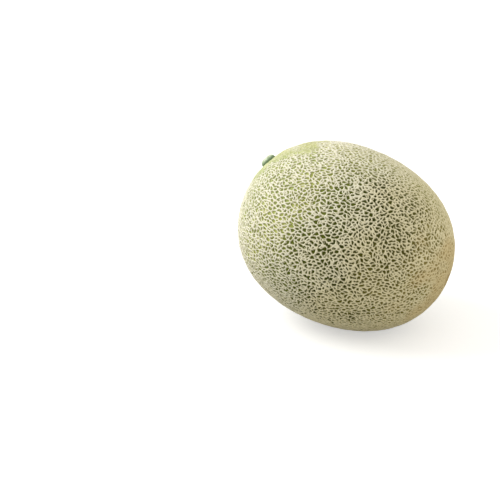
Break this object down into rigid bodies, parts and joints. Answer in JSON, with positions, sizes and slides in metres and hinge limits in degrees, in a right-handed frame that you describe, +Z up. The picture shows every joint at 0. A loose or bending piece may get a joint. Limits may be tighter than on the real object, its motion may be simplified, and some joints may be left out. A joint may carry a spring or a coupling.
{
  "type": "cantaloupe melon",
  "caption": "Whole netted cantaloupe melon with a short stalk stub, lying on its small flat ground spot.",
  "frame": {"origin": "middle of the foot of the melon's box, on the surface it rests on", "axes": "+X from the stem end towards the blossom end, level; +Z up. The melon's own long axis lies in the XZ plane, raised 15 degrees at the stem end"},
  "size_m": [0.1608, 0.133, 0.1338],
  "materials": {
    "netted_rind": "dry cream cork net raised over green skin",
    "stalk": "dull, ridged, grey-green, with a drier cut end"
  },
  "bodies": {
    "root": {"fruit": "netted_rind", "stem_stub": "stalk"}
  },
  "joints": []
}
